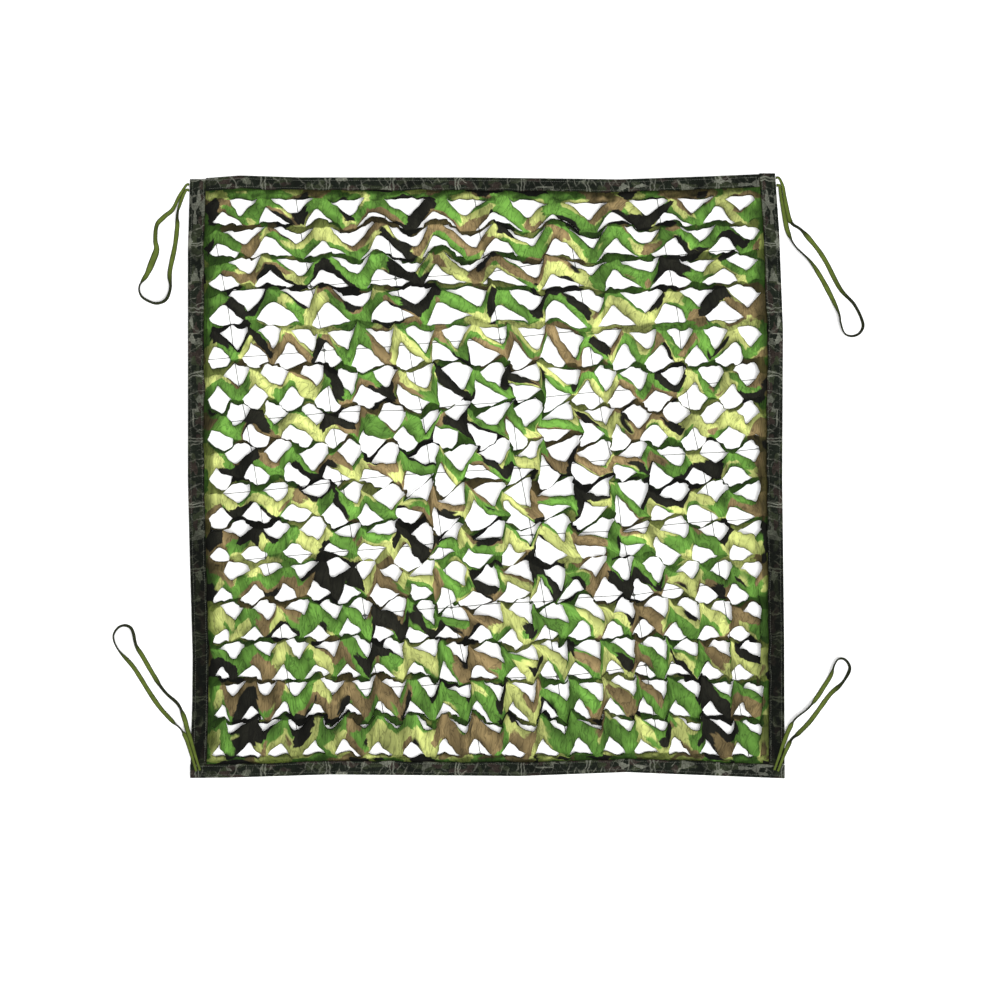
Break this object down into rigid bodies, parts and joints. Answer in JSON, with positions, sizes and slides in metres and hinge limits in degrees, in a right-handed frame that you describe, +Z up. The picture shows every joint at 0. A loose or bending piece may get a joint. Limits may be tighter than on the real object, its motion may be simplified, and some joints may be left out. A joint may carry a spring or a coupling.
{
  "type": "camouflage net",
  "caption": "Square camouflage net laid out flat: slit and pulled open camouflage cloth over a knotted cord net, with a folded binding and a tape loop at each corner.",
  "frame": {"origin": "on the ground under the middle of the net, ties left out", "axes": "+Z up from the ground, +Y towards the net's top edge, +X towards its right edge"},
  "size_m": [1.9055, 1.536, 0.0178],
  "materials": {
    "camo_cloth": "printed polyester cloth in greens, tan and charcoal, matt",
    "backing_cord": "thin dark twisted cord",
    "binding_tape": "dark camouflage cloth, folded, stitched and crumpled",
    "tie_tape": "olive green woven tape"
  },
  "bodies": {
    "root": {"camo_cloth": "camo_cloth", "backing_net": "backing_cord", "binding_left": "binding_tape", "binding_right": "binding_tape", "binding_top": "binding_tape", "binding_bottom": "binding_tape", "tie_top_left": "tie_tape", "tie_top_right": "tie_tape", "tie_bottom_left": "tie_tape", "tie_bottom_right": "tie_tape"}
  },
  "joints": []
}
